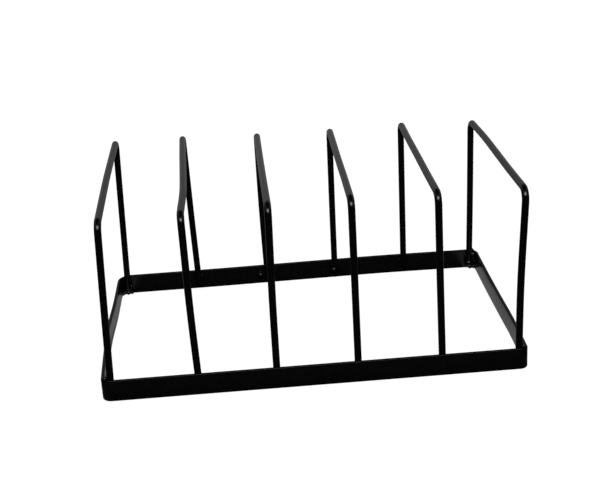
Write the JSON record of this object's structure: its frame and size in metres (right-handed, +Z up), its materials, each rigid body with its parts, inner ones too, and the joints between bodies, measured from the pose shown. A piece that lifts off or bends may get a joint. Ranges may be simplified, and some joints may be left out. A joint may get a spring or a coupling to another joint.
{
  "type": "pot lid rack",
  "caption": "Low wire rack that stands pot lids on edge between bent-wire dividers on a flat-strip base ring.",
  "frame": {"origin": "middle of the base ring, on the surface that the rack stands on", "axes": "+X along the row of slots, +Y to the back, +Z up"},
  "size_m": [0.308, 0.2, 0.137],
  "materials": {
    "strip_enamel": "gloss black enamel on flat steel strip",
    "wire_enamel": "gloss black enamel on round steel wire",
    "weld_enamel": "gloss black enamel over weld beads"
  },
  "bodies": {
    "root": {"base_frame": "strip_enamel", "divider_1": "wire_enamel", "divider_2": "wire_enamel", "divider_3": "wire_enamel", "divider_4": "wire_enamel", "divider_5": "wire_enamel", "divider_6": "wire_enamel", "weld_front_1": "weld_enamel", "weld_front_2": "weld_enamel", "weld_front_3": "weld_enamel", "weld_front_4": "weld_enamel", "weld_front_5": "weld_enamel", "weld_front_6": "weld_enamel", "weld_rear_1": "weld_enamel", "weld_rear_2": "weld_enamel", "weld_rear_3": "weld_enamel", "weld_rear_4": "weld_enamel", "weld_rear_5": "weld_enamel", "weld_rear_6": "weld_enamel"}
  },
  "joints": []
}
